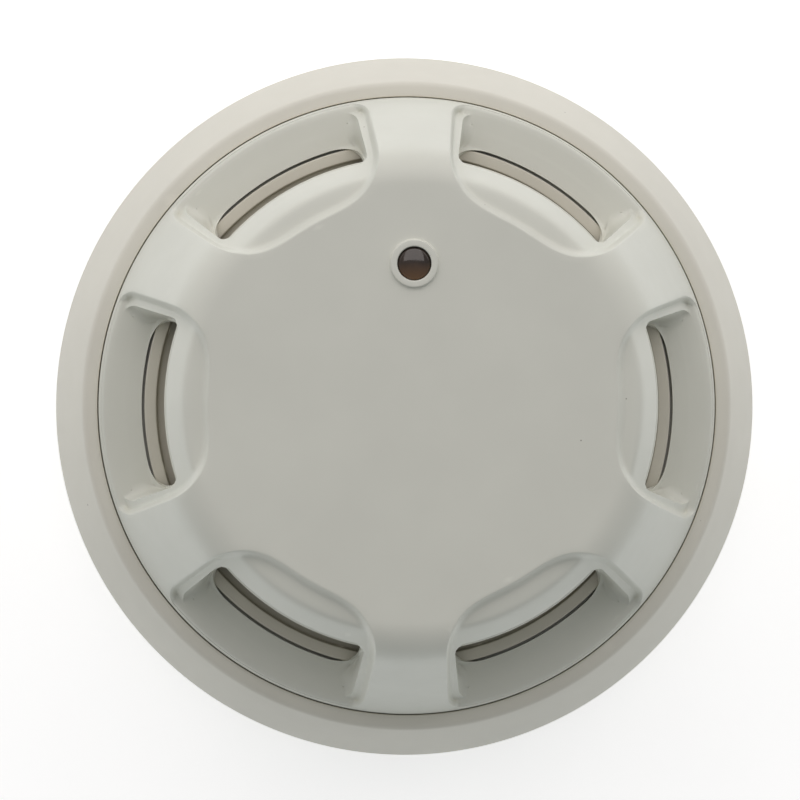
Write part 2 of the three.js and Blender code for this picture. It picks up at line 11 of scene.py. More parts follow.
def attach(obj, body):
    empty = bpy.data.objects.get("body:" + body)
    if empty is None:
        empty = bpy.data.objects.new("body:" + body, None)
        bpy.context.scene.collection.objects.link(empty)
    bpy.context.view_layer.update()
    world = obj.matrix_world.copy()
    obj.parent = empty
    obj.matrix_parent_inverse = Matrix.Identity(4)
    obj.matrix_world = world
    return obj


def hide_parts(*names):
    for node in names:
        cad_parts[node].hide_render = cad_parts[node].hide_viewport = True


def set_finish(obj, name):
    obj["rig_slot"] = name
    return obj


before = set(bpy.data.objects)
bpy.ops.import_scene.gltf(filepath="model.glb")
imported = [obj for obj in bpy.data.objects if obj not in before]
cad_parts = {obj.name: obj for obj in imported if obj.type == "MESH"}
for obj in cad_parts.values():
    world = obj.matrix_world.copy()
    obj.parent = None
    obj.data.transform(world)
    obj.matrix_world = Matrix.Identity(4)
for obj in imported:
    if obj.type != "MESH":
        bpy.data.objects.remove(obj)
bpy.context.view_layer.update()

MM = 0.001
LOCK_ANGLES = (30, 150, 270)
TERMINAL_ANGLES = (45, 135, 225, 315)

# ---- mesh helpers; lengths are millimetres until add_mesh ----


def add_mesh(name, vertices, faces, smooth_angle=40.0):
    """A mesh object, smooth except where its faces meet at more than the angle."""
    mesh = bpy.data.meshes.new(name)
    mesh.from_pydata([tuple(float(c) * MM for c in v) for v in vertices], [], faces)
    work = bmesh.new()
    work.from_mesh(mesh)
    bmesh.ops.remove_doubles(work, verts=work.verts, dist=0.003 * MM)
    bmesh.ops.dissolve_degenerate(work, edges=work.edges, dist=0.001 * MM)
    bmesh.ops.recalc_face_normals(work, faces=work.faces)
    work.to_mesh(mesh)
    work.free()
    mesh.shade_smooth()
    mesh.set_sharp_from_angle(angle=math.radians(smooth_angle))
    piece = bpy.data.objects.new(name, mesh)
    bpy.context.scene.collection.objects.link(piece)
    return piece


def rounded(outline, radius, steps=4):
    """An outline of (r, z) or (r, z, radius) points with its inner corners rounded."""
    points = [Vector(p[:2]) for p in outline]
    radii = [p[2] if len(p) > 2 else radius for p in outline]
    result = [tuple(points[0])]
    for i in range(1, len(points) - 1):
        corner = points[i]
        before, after = points[i - 1] - corner, points[i + 1] - corner
        half = before.angle(after) / 2
        if radii[i] == 0 or half > math.radians(89):
            result.append(tuple(corner))
            continue
        reach = min(radii[i] / math.tan(half), before.length * 0.49, after.length * 0.49)
        start, end = corner + before.normalized() * reach, corner + after.normalized() * reach
        for step in range(steps + 1):
            t = step / steps
            result.append(tuple(start * (1 - t) ** 2 + corner * 2 * t * (1 - t) + end * t**2))
    result.append(tuple(points[-1]))
    return result


def turned_grid(outline, centre=(0.0, 0.0), sides=96):
    """Vertices and faces of an outline of (r, z) points turned about a vertical line."""
    vertices = []
    for side in range(sides):
        a = 2 * math.pi * side / sides
        vertices += [(centre[0] + r * math.cos(a), centre[1] + r * math.sin(a), z) for r, z in outline]
    count = len(outline)
    faces = []
    for side in range(sides):
        here, there = side * count, (side + 1) % sides * count
        for k in range(count - 1):
            faces.append((here + k, there + k, there + k + 1, here + k + 1))
    return vertices, faces


class Build:
    """Vertices and faces gathered from several grids into one mesh."""

    def __init__(self):
        self.vertices = []
        self.faces = []

    def add(self, vertices, faces):
        start = len(self.vertices)
        self.vertices += [tuple(v) for v in vertices]
        self.faces += [tuple(start + k for k in face) for face in faces]

    def add_grid(self, grid):
        """A grid of points, an array of shape (columns, rows, 3)."""
        columns, rows = grid.shape[:2]
        faces = []
        for c in range(columns - 1):
            for r in range(rows - 1):
                k = c * rows + r
                faces.append((k, k + 1, k + rows + 1, k + rows))
        self.add(grid.reshape(-1, 3), faces)


def plan(r, degrees):
    """Plan points at radii and angles."""
    a = np.radians(degrees)
    return np.stack([r * np.cos(a), r * np.sin(a)], axis=-1)


def circle(radius, centre=(0.0, 0.0), sides=48):
    """A closed plan outline, anticlockwise."""
    a = 2 * math.pi * np.arange(sides) / sides
    return np.stack([centre[0] + radius * np.cos(a), centre[1] + radius * np.sin(a)], axis=-1)


def lifted(outline, z):
    outline = np.asarray(outline, dtype=float)
    return np.concatenate([outline, np.full((len(outline), 1), z)], axis=1)


def inset(outline, distance):
    """A closed anticlockwise plan outline moved towards its inside."""
    outline = np.asarray(outline, dtype=float)
    along = np.roll(outline, -1, axis=0) - outline
    along /= np.linalg.norm(along, axis=1)[:, None]
    inward = np.stack([-along[:, 1], along[:, 0]], axis=-1)
    before = np.roll(inward, 1, axis=0)
    mitre = (inward + before) / (1 + (inward * before).sum(axis=1))[:, None]
    return outline + mitre * distance


def loft(build, loops):
    """A wall through closed loops that hold the same number of points."""
    count = len(loops[0])
    faces = []
    for level in range(len(loops) - 1):
        for k in range(count):
            here, after = level * count + k, level * count + (k + 1) % count
            faces.append((here, after, after + count, here + count))
    build.add(np.concatenate(loops), faces)


def sheet(build, loops):
    """A flat face bounded by closed loops: the outline first, then its holes."""
    work = bmesh.new()
    for loop in loops:
        vertices = [work.verts.new([float(c) for c in p]) for p in loop]
        for a, b in zip(vertices, vertices[1:] + vertices[:1]):
            work.edges.new((a, b))
    bmesh.ops.triangle_fill(work, use_beauty=True, edges=work.edges[:])
    work.verts.index_update()
    vertices = [tuple(v.co) for v in work.verts]
    build.add(vertices, [tuple(v.index for v in face.verts) for face in work.faces])
    work.free()


def slab(build, outline, low, high, bevel=0.2, holes=()):
    """A plate with a rounded top edge and holes right through it."""
    steps = [(0.0, high - bevel), (0.3 * bevel, high - 0.3 * bevel), (bevel, high)]
    loops = [lifted(outline, low)] + [lifted(inset(outline, d), z) for d, z in steps]
    loft(build, loops)
    sheet(build, [loops[-1]] + [lifted(hole, high) for hole in holes])
    sheet(build, [loops[0]] + [lifted(hole, low) for hole in holes])
    for hole in holes:
        loft(build, [lifted(hole, low), lifted(hole, high)])


def ring_piece(inner, outer, start, end, step=1.5):
    """Plan outline of a piece of a ring between two angles."""
    count = max(2, math.ceil((end - start) / step) + 1)
    angles = np.linspace(start, end, count)
    return np.concatenate([plan(outer, angles), plan(inner, angles[::-1])])


def polar(radius, degrees):
    a = math.radians(degrees)
    return radius * math.cos(a), radius * math.sin(a)


# ---- cap ----

FACE_Z, FACE_R = 43.0, 31.2
SHOULDER_R = 5.92  # radius of the round shoulder
CONE_TOP_R = 36.8
CONE_FOOT_R, CONE_FOOT_Z = 45.75, 13.7
STRUT_MIDDLE = 30.0  # angle from the middle of a window to the middle of a strut, degrees
WINDOW_HALF = 22.2
U_R, U_SIDE_R = 28.9, 38.0  # the rounded U at a window's inner end
U_FLATNESS, U_SQUARENESS = 3.4, 2.4  # exponents of the U's formula
RIM_R, RIM_CORNER = 45.6, 2.4  # a window's outer edge
RIM_MIDDLE = 13.0  # half of the outer edge's middle stretch, degrees
SIDE_END_R = 41.5  # end of a window's straight side
STEP_HALF, STEP_RIM_R, STEP_CORNER = 19.6, 44.4, 1.7  # where the step falls to the sill
LEDGE_R, LEDGE_Z, LEDGE_SLOPE = 30.0, 41.6, 0.1
LIP_R, LIP_Z = 35.45, 34.9
LIP_WIDTH = 0.3  # strip between the step's edge and the lip
BROW_SLOPE = 2.33
LEDGE_ROUNDING, SILL_ROUNDING, STEP_ROUNDING = 0.9, 0.7, 0.12
LIP_HALF, SLOT_HALF = 17.7, 19.1
SLOT_OPENING = 1.2  # how far out from the lip the slot reaches its whole width
SLOT_RISE = 1.6  # rise of the sill towards the slot's ends
SILL_R, SILL_Z = 39.5, 14.5
WALL_DRAFT, FLOOR_FILLET = 0.12, 2.1  # width of a side wall, and of its fillet at the sill
SLOT_CORNER_R, SLOT_CORNER_HALF = 37.6, 12.5  # where the slot's outer corner starts and ends
# Profile of a side wall: shares of its width, and of its drop.
WALL_SHARES = np.array([0.03, 0.08, 0.14, 0.22, 0.34, 0.48, 0.66, 0.84, 1.0])
WALL_DROP = np.array([0.12, 0.36, 0.57, 0.74, 0.865, 0.94, 0.98, 0.996, 1.0])
# Sections of the band at a window's edge, outside and inside the cap: edge rounding, reach, fillet.
OUTER_BAND, INNER_BAND = (0.5, 1.0, 0.5), (0.3, 1.2, 0.8)
FACE_WALL, CONE_WALL, LEDGE_WALL, LIP_WALL, SILL_WALL = 1.8, 1.9, 1.0, 0.7, 0.4
DISC_R, DISC_HALF = 27.0, 14.0  # flat disc inside the windows, and its half of a window's edge
STRUT_START_R = 30.5
HOLLOW_R, HOLLOW_EDGE_R = 43.6, 43.3  # outer end of the hollow inside the cap
SKIRT_R, SKIRT_INNER_R, SKIRT_LOW, SKIRT_HIGH = 46.0, 44.2, 9.3, 12.4
LAMP_Y = 19.8
BEZEL_R, BEZEL_FOOT_R, BEZEL_RISE, BEZEL_HOLE_R = 3.4, 4.4, 0.5, 2.42
POST_CIRCLE_R = 39.3  # circle of the cap screws
POST_R, POST_BORE_R = 1.9, 1.1
POST_LOW, POST_BORE_TOP, POST_TOP = 13.3, 22.0, 24.0


def blend(x, start, end):
    """A smooth rise from 0 at start to 1 at end."""
    t = np.clip((np.asarray(x, dtype=float) - start) / (end - start), 0, 1)
    return t * t * (3 - 2 * t)


def outer_height(r):
    """The cap's outside: flat face, round shoulder, cone."""
    past_face = np.clip(r - FACE_R, 0, CONE_TOP_R - FACE_R)
    shoulder = FACE_Z - SHOULDER_R + np.sqrt(SHOULDER_R**2 - past_face**2)
    cone_top_z = FACE_Z - SHOULDER_R + math.sqrt(SHOULDER_R**2 - (CONE_TOP_R - FACE_R) ** 2)
    slope = (cone_top_z - CONE_FOOT_Z) / (CONE_FOOT_R - CONE_TOP_R)
    return shoulder - slope * np.maximum(r - CONE_TOP_R, 0)


def lower_of(a, b, rounding):
    """The lower of two heights, with a rounded change from one to the other."""
    return (a + b - np.sqrt((a - b) ** 2 + rounding**2)) / 2


def upper_of(a, b, rounding):
    return -lower_of(-a, -b, rounding)


def brow_cone(r):
    """The cone that a window cuts into the cap; the slot's lip lies on it."""
    return LIP_Z - BROW_SLOPE * (r - LIP_R)


def slot_end(r):
    """Height of the slot's edge: down from the lip at the slot's end, then out over the cover's rim."""
    steep = np.clip((SLOT_CORNER_R - r) / (SLOT_CORNER_R - LIP_R), 0, 1)
    gentle = np.clip((SILL_R - r) / (SILL_R - SLOT_CORNER_R), 0, 1)
    return SILL_Z + (LIP_Z - SILL_Z - SLOT_RISE) * steep + SLOT_RISE * gentle


def floor_height(r):
    """A window's floor: ledge, cone down to the lip, end of the slot, level sill."""
    ledge = lower_of(LEDGE_Z - LEDGE_SLOPE * (r - LEDGE_R), brow_cone(r), LEDGE_ROUNDING)
    sill = lower_of(slot_end(r), outer_height(r), SILL_ROUNDING)
    return np.where(r < LIP_R, ledge, np.where(r < SILL_R, slot_end(r), sill))


def step_height(r):
    """The step along a window's edge: the brow, then the same cone beside the struts."""
    sill = lower_of(SILL_Z, outer_height(r), SILL_ROUNDING)
    return np.where(r < LIP_R, floor_height(r), upper_of(brow_cone(r), sill, STEP_ROUNDING))


def side_height(inside, roof, floor, edge, reach, fillet):
    """Height at a distance inside a window's edge: rounded edge, straight wall, fillet, floor."""
    inside = np.where(inside < edge, np.maximum(inside, 0) ** 2 / (2 * edge), inside - edge / 2)
    depth = np.maximum(roof - floor, 0)
    slope = np.arctan2(depth - fillet, reach) + np.arcsin(fillet / np.hypot(reach, depth - fillet))
    touch = reach - fillet * np.sin(slope)
    on_wall = fillet * (1 - np.cos(slope)) + (touch - inside) * np.tan(slope)
    on_fillet = fillet - np.sqrt(fillet**2 - np.clip(reach - inside, 0, fillet) ** 2)
    return floor + np.where(inside < touch, on_wall, on_fillet)


def rounded_corner(rim_r, corner, half):
    """Half of a window's low end, as (r, degrees): straight side, round corner, rim."""
    turn = math.degrees(corner / rim_r)
    side = [(r, half) for r in np.linspace(SIDE_END_R, rim_r - corner, 7)[1:]]
    arc = [
        (rim_r - corner * (1 - math.sin(a)), half - turn * (1 - math.cos(a)))
        for a in np.linspace(0, math.pi / 2, 10)[1:]
    ]
    rim = [(rim_r, angle) for angle in np.linspace(half - turn, RIM_MIDDLE, 8)[1:]]
    middle = [(rim_r, angle) for angle in np.linspace(RIM_MIDDLE, 0, 12)[1:]]
    return side + arc + rim + middle


def window_edges():
    """Matching points, as (r, degrees), along half of a window's edge, its step and its slot."""
    shares = np.sin(np.linspace(0, math.pi / 2, 40))
    u_r = U_SIDE_R - (U_SIDE_R - U_R) * (1 - shares**U_FLATNESS) ** (1 / U_SQUARENESS)
    u_angle = shares * WINDOW_HALF
    at_lip = u_r < LIP_R
    lip_angle = LIP_HALF * u_angle[at_lip] / u_angle[at_lip].max()
    side_r = np.concatenate([u_r[~at_lip], np.linspace(U_SIDE_R, SIDE_END_R, 9)[1:]])
    side_angle = np.concatenate([u_angle[~at_lip], np.full(8, WINDOW_HALF)])
    opening = np.sqrt(1 - (1 - np.clip((side_r - LIP_R) / SLOT_OPENING, 0, 1)) ** 2)

    edge_low = rounded_corner(RIM_R, RIM_CORNER, WINDOW_HALF)
    step_low = rounded_corner(STEP_RIM_R, STEP_CORNER, STEP_HALF)
    step_side = LIP_HALF + 0.3 + (STEP_HALF - LIP_HALF - 0.3) * opening
    slot_half = LIP_HALF + 0.1 + (SLOT_HALF - LIP_HALF - 0.1) * opening
    beside_slot = side_r < SLOT_CORNER_R
    corner_rows = len(side_r[~beside_slot]) + len(edge_low) - 11
    slot_low = [
        (
            SLOT_CORNER_R + (SILL_R - SLOT_CORNER_R) * math.sin(a),
            SLOT_CORNER_HALF + (SLOT_HALF - SLOT_CORNER_HALF) * math.cos(a),
        )
        for a in np.linspace(0, math.pi / 2, corner_rows + 1)[1:]
    ]
    slot_rim = [(SILL_R, angle) for angle in np.linspace(SLOT_CORNER_HALF, 0, 12)[1:]]

    lip = np.full(at_lip.sum(), LIP_R)
    edge = [*zip(u_r[at_lip], u_angle[at_lip]), *zip(side_r, side_angle), *edge_low]
    step = [*zip(lip - LIP_WIDTH, lip_angle), *zip(side_r, step_side), *step_low]
    slot = [*zip(lip, lip_angle), *zip(side_r[beside_slot], slot_half[beside_slot]), *slot_low, *slot_rim]
    return np.array(edge), np.array(step), np.array(slot)


def outward(points):
    """Unit normals of a plan line, on the side away from the window's middle."""
    along = np.gradient(points, axis=0)
    along /= np.linalg.norm(along, axis=1)[:, None]
    return np.stack([-along[:, 1], along[:, 0]], axis=-1)


def inside_of(points, line, normals):
    """How far plan points lie inside a plan line, and the radius of the line's nearest point."""
    flat = points.reshape(-1, 2)
    gaps = flat[:, None, :] - line[None, :, :]
    squared = (gaps**2).sum(axis=2)
    nearest = squared.argmin(axis=1)
    side = -(gaps[np.arange(len(flat)), nearest] * normals[nearest]).sum(axis=1)
    distance = np.sqrt(squared.min(axis=1)) * np.sign(side)
    edge_r = np.linalg.norm(line[nearest], axis=1)
    return distance.reshape(points.shape[:-1]), edge_r.reshape(points.shape[:-1])


def refined(points, times=8):
    """A plan line with more points along it."""
    index = np.arange(len(points))
    fine = np.linspace(0, len(points) - 1, (len(points) - 1) * times + 1)
    return np.stack([np.interp(fine, index, points[:, k]) for k in range(2)], axis=-1)


def between(start, end, shares):
    return start[:, None, :] * (1 - shares)[None, :, None] + end[:, None, :] * shares[None, :, None]


def with_height(points, z):
    return np.concatenate([points, z[..., None]], axis=-1)


def border(edge, disc_r, rim_r):
    """Where each line across a window's edge ends: on the disc, in the middle of a strut or on the rim."""
    r, angle = edge[:, 0], edge[:, 1]
    on_disc = (angle < DISC_HALF) & (r < LIP_R)
    on_rim = r > RIM_R - 1e-6
    edge_stops = [STRUT_START_R, U_SIDE_R, RIM_R - RIM_CORNER, RIM_R]
    strut_r = np.interp(r, edge_stops, [disc_r, disc_r + 10, rim_r - 1.9, rim_r])
    border_r = np.where(on_disc, disc_r, np.where(on_rim, rim_r, strut_r))
    border_angle = np.where(
        on_disc,
        angle / angle[on_disc].max() * STRUT_MIDDLE,
        np.where(on_rim, angle / angle[on_rim].max() * STRUT_MIDDLE, STRUT_MIDDLE),
    )
    return border_r, border_angle, on_disc, on_rim


def outside_grid(edge):
    """The cap's outside, from the border to a window's edge."""
    border_r, border_angle, _, _ = border(edge, DISC_R, CONE_FOOT_R)
    shares = np.linspace(0, 1, 9)
    r = border_r[:, None] * (1 - shares) + edge[:, 0][:, None] * shares
    angle = border_angle[:, None] * (1 - shares) + edge[:, 1][:, None] * shares
    return with_height(plan(r, angle), outer_height(r))


def pocket_grid(edge_plan, step, slot_plan, line, normals):
    """Inside a window's edge: band down to the step, steep wall, floor as far as the slot."""
    step_plan = plan(*step.T)
    band_plan = between(edge_plan, step_plan, (np.arange(1, 19) / 18) ** 1.4)
    r = np.linalg.norm(band_plan, axis=-1)
    inside, edge_r = inside_of(band_plan, line, normals)
    band_z = side_height(inside, outer_height(edge_r), step_height(r), *OUTER_BAND)

    wall_width = WALL_DRAFT + FLOOR_FILLET * blend(step[:, 0], SLOT_CORNER_R, SIDE_END_R)
    foot_plan = step_plan - outward(step_plan) * wall_width[:, None]
    foot_plan[-1, 1] = 0
    beside_slot = step[:, 0] <= SLOT_CORNER_R
    foot_plan[beside_slot] = slot_plan[beside_slot] * 0.7 + step_plan[beside_slot] * 0.3
    wall_plan = between(step_plan, foot_plan, WALL_SHARES)
    step_z = band_z[:, -1:]
    foot_z = np.minimum(floor_height(np.linalg.norm(foot_plan, axis=-1)), step_z[:, 0])[:, None]
    wall_z = step_z + (foot_z - step_z) * WALL_DROP

    floor_plan = between(foot_plan, slot_plan, np.linspace(0, 1, 11)[1:])
    floor_z = floor_height(np.linalg.norm(floor_plan, axis=-1))
    rows = ((band_plan, band_z), (wall_plan, wall_z), (floor_plan, floor_z))
    return np.concatenate([with_height(points, z) for points, z in rows], axis=1)


def under_grid(edge, slot, slot_z, line, normals):
    """The inside of the cap, from the slot to the border: the outside's shapes one wall further in."""
    spread, slot_lean = 1.5, 0.8
    leaning = np.clip((SILL_R - slot[:, 0]) / (SILL_R - SLOT_CORNER_R), 0, 1)
    on_lip = slot[:, 0] <= LIP_R
    inner_slot_r = slot[:, 0] - np.where(on_lip, LIP_WIDTH, slot_lean * leaning)
    slot_under = slot_z - np.where(on_lip, LIP_WALL, LEDGE_WALL - LIP_WALL * leaning)
    inner_slot = plan(inner_slot_r, slot[:, 1])
    edge_plan = plan(*edge.T)
    inner_edge = edge_plan + outward(edge_plan) * spread
    inner_edge[[0, -1], 1] = 0
    too_far = np.maximum(np.linalg.norm(inner_edge, axis=1) / HOLLOW_EDGE_R, 1)
    inner_edge = inner_edge / too_far[:, None]
    border_r, border_angle, _, _ = border(edge, DISC_R - 1, HOLLOW_R)
    wall_plan = between(inner_slot, inner_edge, np.linspace(0, 1, 12))
    strut_plan = between(inner_edge, plan(border_r, border_angle), np.linspace(0, 1, 5)[1:])
    under_plan = np.concatenate([wall_plan, strut_plan], axis=1)

    r = np.linalg.norm(under_plan, axis=-1)
    roof = np.minimum(outer_height(r + CONE_WALL), FACE_Z - FACE_WALL)
    ledge_under = floor_height(r) - LEDGE_WALL
    sill_under = slot_end(r + 0.25) - SILL_WALL - 0.6 * blend(r, 39.2, 40.5)
    floor = np.where(r < LIP_R - slot_lean, ledge_under, np.minimum(sill_under, LIP_Z - LIP_WALL))
    floor = np.minimum(floor, roof)
    inside, _ = inside_of(under_plan, line + normals * spread, normals)
    z = np.where(inside <= 0, roof, side_height(inside, roof, floor, *INNER_BAND))
    z[:, 0] = slot_under
    return with_height(under_plan, z)


def skirt_grid(rim_columns):
    """The skirt that goes down into the base, between the outside and the underside."""
    outline = rounded(
        [
            (CONE_FOOT_R, CONE_FOOT_Z),
            (SKIRT_R, SKIRT_HIGH, 0.12),
            (SKIRT_R, SKIRT_LOW),
            (SKIRT_INNER_R, SKIRT_LOW),
            (SKIRT_INNER_R, 11.6),
            (43.7, 12.6),
        ],
        0.25,
        3,
    )
    angles = np.degrees(np.arctan2(rim_columns[:, 0, 1], rim_columns[:, 0, 0]))
    skirt = np.stack([lifted(plan(r, angles), z) for r, z in outline], axis=1)
    return np.concatenate([rim_columns[:, :1], skirt[:, 1:], rim_columns[:, -1:]], axis=1)


def cap_sector():
    """Grids for half a window of the cap with its share of strut and skirt, and the disc's edges."""
    edge, step, slot = window_edges()
    line = refined(plan(*edge.T))
    normals = outward(line)
    pocket = pocket_grid(plan(*edge.T), step, plan(*slot.T), line, normals)
    under = under_grid(edge, slot, pocket[:, -1, 2], line, normals)
    shell = np.concatenate([outside_grid(edge), pocket, under], axis=1)
    _, _, on_disc, on_rim = border(edge, DISC_R, CONE_FOOT_R)
    return shell, skirt_grid(shell[on_rim]), shell[on_disc, 0], shell[on_disc, -1]


def turned_copies(points):
    """The six windows' copies of an array of points, each with its mirror image."""
    copies = []
    for window in range(6):
        a = math.radians(60 * window)
        turn = np.array([[math.cos(a), -math.sin(a)], [math.sin(a), math.cos(a)]])
        for mirror in (1, -1):
            copy = points.copy()
            copy[..., 1] *= mirror
            copy[..., :2] = copy[..., :2] @ turn.T
            copies.append(copy)
    return copies


def ordered_loop(copies):
    """Points of a circle about the origin in order of angle, without repeats."""
    points = {}
    for copy in copies:
        for p in copy:
            points[round(math.degrees(math.atan2(p[1], p[0])) * 20) % 7200] = tuple(float(c) for c in p)
    return [points[key] for key in sorted(points)]


def screw_post(angle):
    """A hollow post for a cap screw, its slanted top inside the cap's wall."""
    centre = polar(POST_CIRCLE_R, angle)
    chamfer = 0.2
    outline = [
        (0, POST_BORE_TOP),
        (POST_BORE_R, POST_BORE_TOP),
        (POST_BORE_R, POST_LOW + chamfer),
        (POST_BORE_R + chamfer, POST_LOW),
        (POST_R - chamfer, POST_LOW),
        (POST_R, POST_LOW + chamfer),
        (POST_R, POST_TOP),
        (0, POST_TOP),
    ]
    vertices, faces = turned_grid(outline, centre, 24)
    top = len(outline) - 2
    for k in range(len(vertices)):
        if k % len(outline) >= top:
            x, y, _ = vertices[k]
            vertices[k] = (x, y, float(outer_height(np.array(math.hypot(x, y)))) - 2.0)
    return vertices, faces


def front_cap():
    build = Build()
    sector, skirt, disc_edge, under_edge = cap_sector()
    for grid in (sector, skirt):
        for copy in turned_copies(grid):
            build.add_grid(copy)
    lamp, sides = (0.0, LAMP_Y), 64
    bezel = rounded(
        [
            (BEZEL_FOOT_R, FACE_Z),
            (4.0, FACE_Z, 0),
            (BEZEL_R, FACE_Z, 0.3),
            (BEZEL_R, FACE_Z + BEZEL_RISE, 0.22),
            (BEZEL_HOLE_R, FACE_Z + BEZEL_RISE, 0.2),
            (BEZEL_HOLE_R, FACE_Z - FACE_WALL),
        ],
        0.2,
        5,
    )
    build.add(*turned_grid(bezel, lamp, sides))
    hole = lifted(circle(BEZEL_FOOT_R, lamp, sides), FACE_Z)
    hole_under = lifted(circle(BEZEL_HOLE_R, lamp, sides), FACE_Z - FACE_WALL)
    sheet(build, [ordered_loop(turned_copies(disc_edge)), hole])
    sheet(build, [ordered_loop(turned_copies(under_edge)), hole_under])
    for angle in LOCK_ANGLES:
        build.add(*screw_post(angle))
    cap = add_mesh("cap_shell", build.vertices, build.faces, 38.0)
    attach(cap, "head")
    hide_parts("front_cap")
    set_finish(cap, "cap_white")
    return cap


# ---- mounting base ----

BASE_R, RING_Z, BORE_R = 53.0, 12.0, 46.4
GAP_R = 46.18  # narrowest part of the bore, at the crest of the ring
FLANK_TOP_R = 48.3
FOOT_INNER_R, CAVITY_R, CAVITY_Z = 51.0, 48.4, 6.8  # hollow under the ring
FLOOR_R, FLOOR_UNDER_R, FLOOR_Z = 45.6, 47.4, 2.0
PEDESTAL_R, PEDESTAL_END_R, PEDESTAL_Z = 29.4, 36.6, 3.5
PEDESTAL_BEFORE, PEDESTAL_AFTER = 9, 19  # from a terminal to the ends of its pedestal, degrees
HOOK_R, HOOK_LOW, HOOK_HIGH = 43.8, 7.2, 8.8
HOOK_HALF, HOOK_STOP = 8, 11  # degrees
CABLE_R, COLLAR_R, COLLAR_FOOT_R, COLLAR_Z = 12.0, 13.3, 14.5, 3.4
SINK = 0.4  # how far joined solids reach into each other
FIXING_X, FIXING_R, FIXING_LENGTH = 28.0, 2.3, 11.0
TERMINAL_R = 33.0
SCREW_HOLE_R, SCREW_HOLE_Z = 2.2, 1.2
RING_SIDES = 240


def fixing_slot(x):
    """Plan of a slot with round ends, lying along X."""
    half = FIXING_LENGTH / 2 - FIXING_R
    turn = np.linspace(-90, 90, 17)
    right = plan(FIXING_R, turn) + (x + half, 0)
    left = plan(FIXING_R, turn + 180) + (x - half, 0)
    return np.concatenate([right, left])


def base_ring():
    build = Build()
    rim = rounded(
        [
            (FLOOR_R, FLOOR_Z),
            (BORE_R, FLOOR_Z, 0.6),
            (BORE_R, RING_Z - 1.2, 0.1),
            (GAP_R, RING_Z - 0.8, 0.1),
            (GAP_R, RING_Z, 0.12),
            (FLANK_TOP_R, RING_Z, 1.1),
            (BASE_R, 0.9, 0.5),
            (BASE_R, 0, 0.15),
            (FOOT_INNER_R, 0, 0.2),
            (49, CAVITY_Z, 0.5),
            (CAVITY_R, CAVITY_Z, 0.3),
            (CAVITY_R, 0, 0.2),
            (FLOOR_UNDER_R, 0),
        ],
        0.3,
        5,
    )
    collar = rounded(
        [
            (COLLAR_FOOT_R, 0),
            (CABLE_R, 0, 0.5),
            (CABLE_R, COLLAR_Z, 0.4),
            (COLLAR_R, COLLAR_Z, 0.3),
            (COLLAR_R, FLOOR_Z, 0.4),
            (COLLAR_FOOT_R, FLOOR_Z),
        ],
        0.3,
        4,
    )
    build.add(*turned_grid(rim, sides=RING_SIDES))
    build.add(*turned_grid(collar, sides=96))
    slots = [fixing_slot(-FIXING_X), fixing_slot(FIXING_X)]
    screws = [circle(SCREW_HOLE_R, polar(TERMINAL_R, angle), 24) for angle in TERMINAL_ANGLES]
    inner_loop = circle(COLLAR_FOOT_R, sides=96)
    top_holes = [lifted(hole, FLOOR_Z) for hole in (inner_loop, *slots, *screws)]
    sheet(build, [lifted(circle(FLOOR_R, sides=RING_SIDES), FLOOR_Z), *top_holes])
    underside = (circle(FLOOR_UNDER_R, sides=RING_SIDES), inner_loop, *slots)
    sheet(build, [lifted(hole, 0) for hole in underside])
    for slot in slots:
        loft(build, [lifted(slot, 0), lifted(slot, FLOOR_Z)])
    for screw in screws:
        loft(build, [lifted(screw, SCREW_HOLE_Z), lifted(screw, FLOOR_Z)])
        sheet(build, [lifted(screw, SCREW_HOLE_Z)])
    for angle, screw in zip(TERMINAL_ANGLES, screws):
        ends = angle - PEDESTAL_BEFORE, angle + PEDESTAL_AFTER
        pedestal = ring_piece(PEDESTAL_R, PEDESTAL_END_R, *ends)
        slab(build, pedestal, FLOOR_Z - SINK, PEDESTAL_Z, 0.25, [screw])
    for angle in LOCK_ANGLES:
        hook = ring_piece(HOOK_R, BORE_R + SINK, angle - HOOK_HALF, angle + HOOK_HALF)
        stop = ring_piece(HOOK_R, BORE_R + SINK, angle - HOOK_STOP, angle - HOOK_HALF + 0.5)
        slab(build, hook, HOOK_LOW, HOOK_HIGH, 0.3)
        slab(build, stop, FLOOR_Z - SINK, HOOK_HIGH - 0.05, 0.3)
    ring = add_mesh("base_ring", build.vertices, build.faces, 35.0)
    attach(ring, "base")
    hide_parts("base_shell")
    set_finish(ring, "base_ivory")
    return ring


# ---- inner cover, seen through the windows ----

COVER_LOW, COVER_TOP, COVER_WALL = 13.3, 24.0, 1.2
COVER_FLAT_R, COVER_UNDER_R = 28.5, 29.0  # flat top of the cover, above and below
COVER_R, COVER_INNER_R = 35.9, 35.0
COVER_SHOULDER_Z = 16.4
FLANGE_R, RIM_TOP, CHANNEL_Z = 39.1, 14.6, 13.6
NOTCH_R, NOTCH_START_R = 2.2, 36.6
COLLAR_HOLE_R, GUIDE_HOLE_R = 2.3, 1.9


def notched(vertices):
    """Vertices with the rim squeezed in round the cap's screw posts."""
    start = NOTCH_START_R
    result = []
    for x, y, z in vertices:
        r, degrees = math.hypot(x, y), math.degrees(math.atan2(y, x))
        for angle in LOCK_ANGLES:
            away = POST_CIRCLE_R * math.sin(math.radians(degrees - angle))
            if r > start and abs(away) < NOTCH_R and math.cos(math.radians(degrees - angle)) > 0:
                limit = min(FLANGE_R, POST_CIRCLE_R - math.sqrt(NOTCH_R**2 - away**2))
                r = start + (r - start) * (limit - start) / (FLANGE_R - start)
        a = math.radians(degrees)
        result.append((r * math.cos(a), r * math.sin(a), z))
    return result


